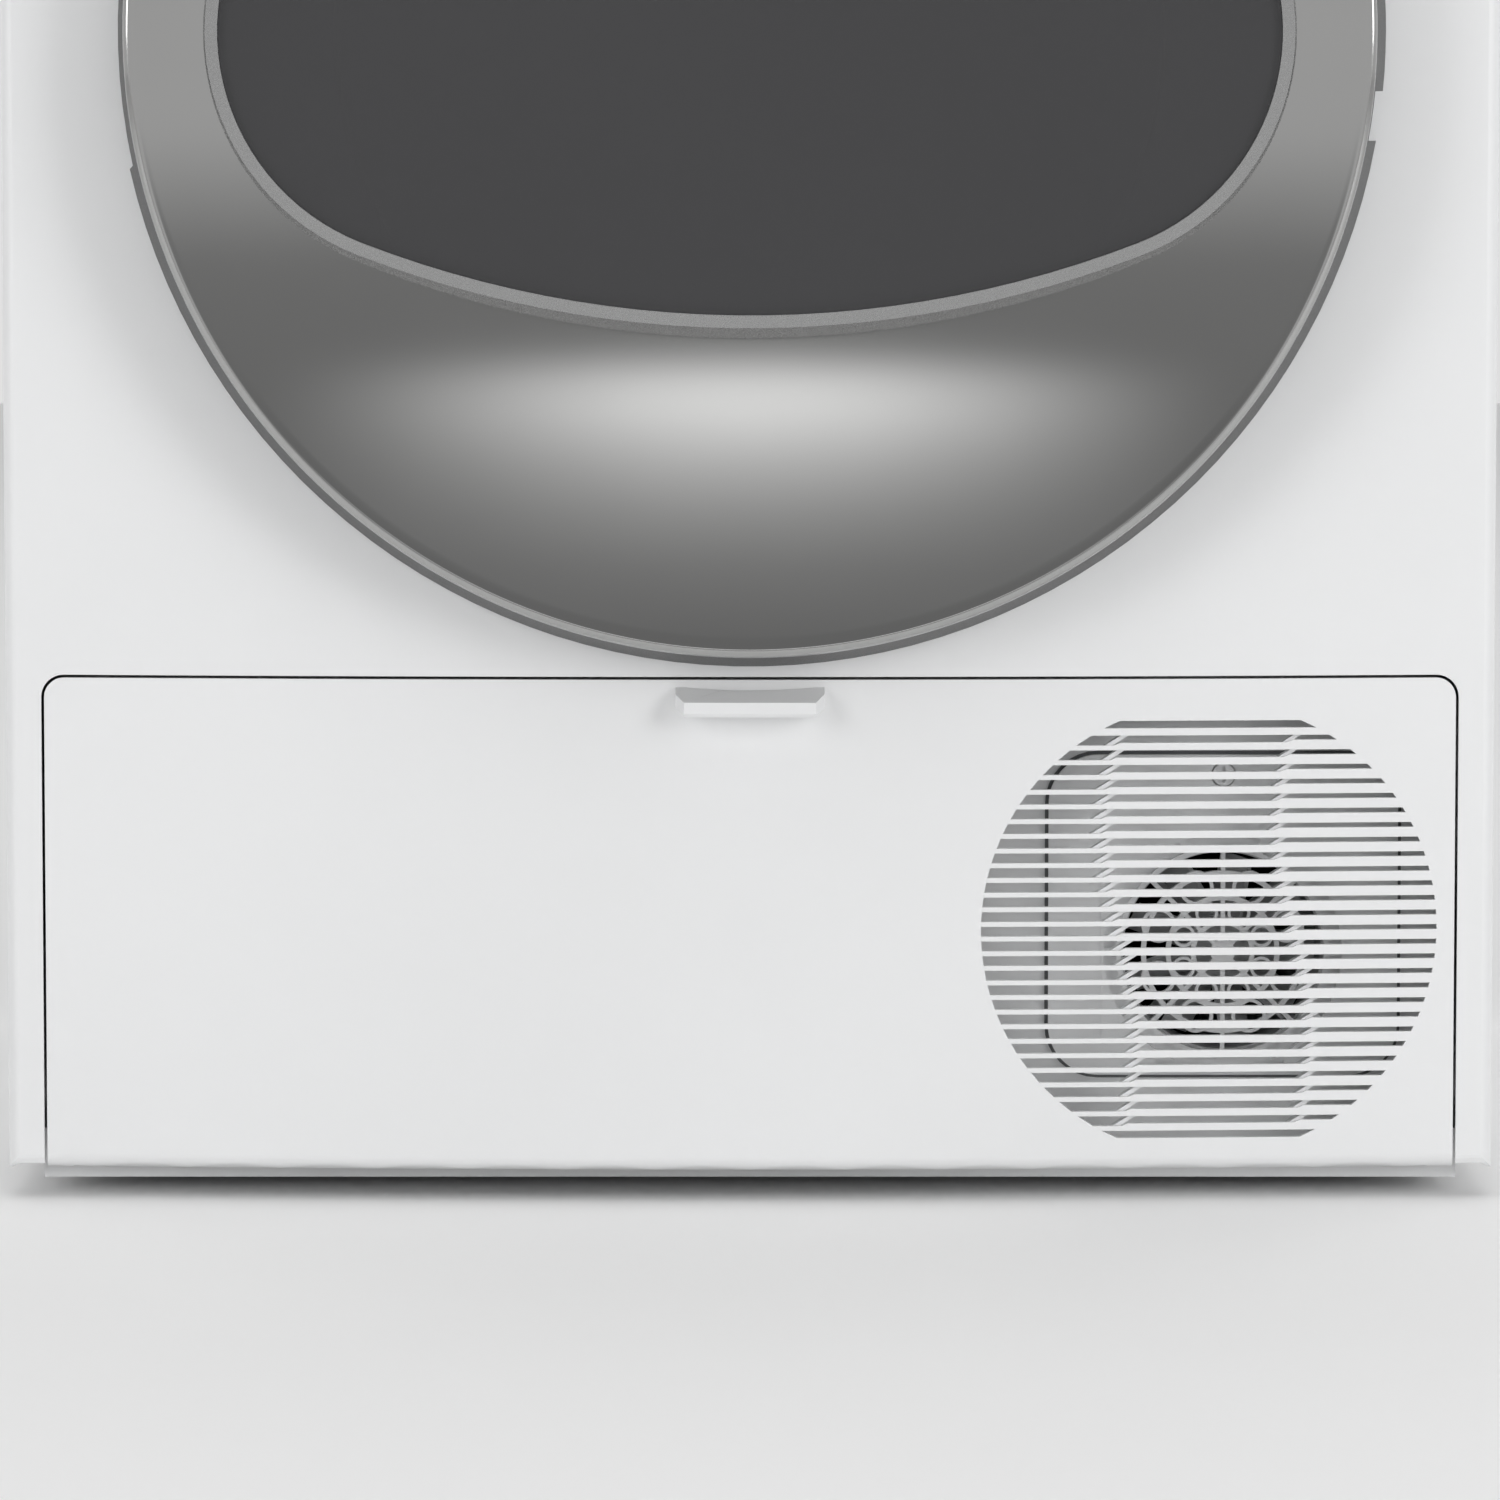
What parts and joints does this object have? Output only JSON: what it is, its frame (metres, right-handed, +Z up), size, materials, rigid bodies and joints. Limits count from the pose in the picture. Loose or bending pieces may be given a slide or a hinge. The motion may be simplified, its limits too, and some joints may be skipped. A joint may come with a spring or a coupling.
{
  "type": "clothes dryer",
  "caption": "Free-standing heat pump clothes dryer with a round dished door, a drum, a tank drawer and a fold-down louvred service flap.",
  "frame": {"origin": "on the floor under the middle of the bounding box", "axes": "+Z up; the front with the door faces -Y; +X to the right as seen by a person who faces the front"},
  "size_m": [0.598, 0.64, 0.85],
  "materials": {
    "white_enamel": "satin",
    "worktop_laminate": "satin",
    "white_plastic": "satin",
    "galvanised": "satin",
    "dish_metal": "brushed",
    "bezel_metal": "polished",
    "window_glass": "gloss",
    "bowl_glass": "gloss",
    "lens_glass": "gloss",
    "circuit_board": "satin",
    "grey_plastic": "matt",
    "dark_plastic": "matt",
    "seal_rubber": "matt",
    "belt_rubber": "matt",
    "stainless": "brushed",
    "fin_aluminium": "satin",
    "copper_pipe": "satin",
    "black_paint": "satin",
    "cast_motor": "cast",
    "ivory_plastic": "matt",
    "tank_plastic": "translucent",
    "silver_plastic": "metallic",
    "steel": "satin"
  },
  "bodies": {
    "cabinet": {"base_tray": "grey_plastic", "side_panel_left": "white_enamel", "side_panel_right": "white_enamel", "rear_panel": "galvanised", "rear_duct_cover": "galvanised", "top_panel": "worktop_laminate", "front_panel": "white_enamel", "control_fascia": "white_plastic", "display_lens": "lens_glass", "control_board": "circuit_board", "tank_sleeve": "grey_plastic", "front_bulkhead": "grey_plastic", "door_seal": "seal_rubber", "door_lock": "ivory_plastic", "hinge_bracket": "steel", "hinge_pin": "steel", "rear_bearing": "dark_plastic", "drum_belt": "belt_rubber", "motor_housing": "cast_motor", "blower_housing": "grey_plastic", "compressor": "black_paint", "condenser": "fin_aluminium", "evaporator": "fin_aluminium", "refrigerant_pipes": "copper_pipe", "cooling_fan_frame": "dark_plastic", "fan_cover": "grey_plastic", "condensate_pump": "ivory_plastic", "fill_hose": "seal_rubber", "cable_gland": "dark_plastic", "drain_spigot": "ivory_plastic", "cabinet_screws": "steel"},
    "door": {"door_dish": "dish_metal", "door_window_bezel": "bezel_metal", "door_window": "window_glass", "door_inner_ring": "white_plastic", "door_glass_bowl": "bowl_glass", "door_hinge_arm": "steel", "door_latch_hook": "steel"},
    "lint_filter": {"lint_filter_frame": "grey_plastic"},
    "drum": {"drum_shell": "stainless", "drum_rear_wall": "stainless", "drum_lifters": "grey_plastic"},
    "support_roller_left": {"roller_left": "dark_plastic"},
    "support_roller_right": {"roller_right": "dark_plastic"},
    "motor_shaft": {"motor_rotor": "steel", "process_fan": "dark_plastic"},
    "belt_tensioner": {"tensioner_arm": "steel"},
    "fan_rotor": {"cooling_fan": "dark_plastic"},
    "fan_cover_lock": {"cover_lock": "grey_plastic"},
    "service_flap": {"flap_panel": "white_plastic", "flap_handle": "white_plastic"},
    "front_left_foot": {"foot_front_left": "dark_plastic"},
    "front_right_foot": {"foot_front_right": "dark_plastic"},
    "rear_left_foot": {"foot_rear_left": "dark_plastic"},
    "rear_right_foot": {"foot_rear_right": "dark_plastic"},
    "knob": {"program_knob": "silver_plastic"},
    "power_key": {"power_button": "silver_plastic"},
    "start_key": {"start_button": "silver_plastic"},
    "tank_drawer": {"water_tank": "tank_plastic", "tank_front": "white_plastic"}
  },
  "joints": [
    {"name": "door_swing", "type": "hinge", "parent": "cabinet", "child": "door", "pos_m": [0.236, -0.3085, 0.468], "axis": [0, 0, 1], "range_deg": [0, 100]},
    {"name": "filter_lift", "type": "slide", "parent": "cabinet", "child": "lint_filter", "axis": [0, 0, 1], "range_m": [0, 0.21]},
    {"name": "drum_spin", "type": "hinge", "parent": "cabinet", "child": "drum", "pos_m": [0, 0, 0.468], "axis": [0, 1, 0], "continuous": true},
    {"name": "roller_left_spin", "type": "hinge", "parent": "cabinet", "child": "support_roller_left", "pos_m": [-0.13115, -0.214, 0.24084], "axis": [0, 1, 0], "continuous": true},
    {"name": "roller_right_spin", "type": "hinge", "parent": "cabinet", "child": "support_roller_right", "pos_m": [0.13115, -0.214, 0.24084], "axis": [0, 1, 0], "continuous": true},
    {"name": "motor_spin", "type": "hinge", "parent": "cabinet", "child": "motor_shaft", "pos_m": [-0.195, 0, 0.12], "axis": [0, 1, 0], "continuous": true},
    {"name": "tensioner_swing", "type": "hinge", "parent": "cabinet", "child": "belt_tensioner", "pos_m": [-0.095, -0.05, 0.092], "axis": [0, -1, 0], "range_deg": [0, 8], "stiffness_Nm_per_rad": 2, "springref_deg": -2.86},
    {"name": "cooling_fan_spin", "type": "hinge", "parent": "cabinet", "child": "fan_rotor", "pos_m": [0.191, -0.246, 0.098], "axis": [0, 1, 0], "continuous": true},
    {"name": "cover_lock_turn", "type": "hinge", "parent": "cabinet", "child": "fan_cover_lock", "pos_m": [0.191, -0.264, 0.17], "axis": [0, 1, 0], "range_deg": [0, 90]},
    {"name": "flap_fold", "type": "hinge", "parent": "cabinet", "child": "service_flap", "pos_m": [0, -0.274, 0.0225], "axis": [1, 0, 0], "range_deg": [0, 80]},
    {"name": "foot_front_left_screw", "type": "slide", "parent": "cabinet", "child": "front_left_foot", "axis": [0, 0, -1], "range_m": [0, 0.015]},
    {"name": "foot_front_right_screw", "type": "slide", "parent": "cabinet", "child": "front_right_foot", "axis": [0, 0, -1], "range_m": [0, 0.015]},
    {"name": "foot_rear_left_screw", "type": "slide", "parent": "cabinet", "child": "rear_left_foot", "axis": [0, 0, -1], "range_m": [0, 0.015]},
    {"name": "foot_rear_right_screw", "type": "slide", "parent": "cabinet", "child": "rear_right_foot", "axis": [0, 0, -1], "range_m": [0, 0.015]},
    {"name": "knob_turn", "type": "hinge", "parent": "cabinet", "child": "knob", "pos_m": [-0.008, -0.3, 0.784], "axis": [0, 1, 0], "continuous": true},
    {"name": "power_press", "type": "slide", "parent": "cabinet", "child": "power_key", "axis": [0, 1, 0], "range_m": [0, 0.0015], "stiffness_N_per_m": 300},
    {"name": "start_press", "type": "slide", "parent": "cabinet", "child": "start_key", "axis": [0, 1, 0], "range_m": [0, 0.0015], "stiffness_N_per_m": 300},
    {"name": "tank_slide", "type": "slide", "parent": "cabinet", "child": "tank_drawer", "axis": [0, -1, 0], "range_m": [0, 0.43]}
  ],
  "couplings": [
    {"joint": "roller_left_spin", "follows": "drum_spin", "ratio": -9.48},
    {"joint": "roller_right_spin", "follows": "drum_spin", "ratio": -9.48},
    {"joint": "motor_spin", "follows": "drum_spin", "ratio": 34.7}
  ]
}
